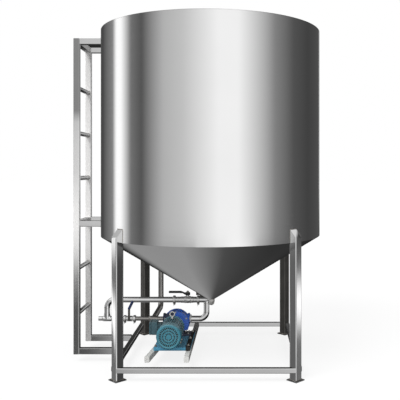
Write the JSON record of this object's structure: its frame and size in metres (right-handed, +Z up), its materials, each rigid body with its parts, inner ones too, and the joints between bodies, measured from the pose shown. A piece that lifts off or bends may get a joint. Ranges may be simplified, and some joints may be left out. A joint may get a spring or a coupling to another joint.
{
  "type": "vertical storage tank",
  "caption": "Cone-bottom vertical storage tank on a welded leg frame, with a side ladder frame, outlet pipework with ball valves and a motor-driven transfer pump below.",
  "frame": {"origin": "on the floor, below the middle of the object's box; the tank's own axis stands 0.1025 m from it towards +X", "axes": "+Z up, the front of the tank faces -Y, the ladder frame stands at the -X side"},
  "size_m": [2.105, 1.9, 3.0009],
  "materials": {
    "stainless_sheet": "fine vertical brushing, satin to bright",
    "frame_steel": "satin stainless square tube",
    "pipe_steel": "polished sanitary tube",
    "black_grip": "black dipped handle",
    "navy_grip": "dark blue dipped handle",
    "teal_paint": "teal machine paint",
    "navy_paint": "dark blue machine paint",
    "light_blue_paint": "light blue paint",
    "bright_blue_paint": "bright blue machine paint"
  },
  "bodies": {
    "tank_and_frame": {"shell_plate_1": "stainless_sheet", "shell_plate_2": "stainless_sheet", "shell_plate_3": "stainless_sheet", "shell_plate_4": "stainless_sheet", "cone_half_1": "stainless_sheet", "cone_half_2": "stainless_sheet", "roof": "stainless_sheet", "manway_neck": "stainless_sheet", "manway_cover": "stainless_sheet", "vent_pipe": "pipe_steel", "leg_front_left": "frame_steel", "leg_front_right": "frame_steel", "leg_rear_left": "frame_steel", "leg_rear_right": "frame_steel", "rail_front": "frame_steel", "rail_right": "frame_steel", "rail_rear": "frame_steel", "rail_left": "frame_steel", "ladder": "frame_steel", "ladder_top_plate": "frame_steel", "arm_top_front": "frame_steel", "arm_top_rear": "frame_steel", "arm_middle_front": "frame_steel", "arm_middle_rear": "frame_steel", "arm_bottom_front": "frame_steel", "arm_bottom_rear": "frame_steel", "suction_pipe": "pipe_steel", "valve_1_body": "pipe_steel", "valve_2_body": "pipe_steel", "discharge_pipe": "pipe_steel", "return_pipe": "pipe_steel", "clamp_1": "pipe_steel", "clamp_2": "pipe_steel", "clamp_3": "pipe_steel", "clamp_4": "pipe_steel", "pipe_hanger": "frame_steel", "skid_rail_left": "frame_steel", "skid_rail_right": "frame_steel", "pump_base": "light_blue_paint", "motor_frame": "teal_paint", "fan_cover": "teal_paint", "terminal_box": "teal_paint", "lifting_eye": "pipe_steel", "coupling_bracket": "navy_paint", "pump_body": "bright_blue_paint"},
    "upper_lever": {"valve_1_lever": "black_grip"},
    "lower_lever": {"valve_2_lever": "navy_grip"}
  },
  "joints": [
    {"name": "valve_1_turn", "type": "hinge", "parent": "tank_and_frame", "child": "upper_lever", "pos_m": [-0.1168, 0.142, 0.4936], "axis": [0, 0, 1], "range_deg": [0, 90]},
    {"name": "valve_2_turn", "type": "hinge", "parent": "tank_and_frame", "child": "lower_lever", "pos_m": [-0.6405, 0.1057, 0.28], "axis": [0, -1, 0], "range_deg": [0, 90]}
  ]
}
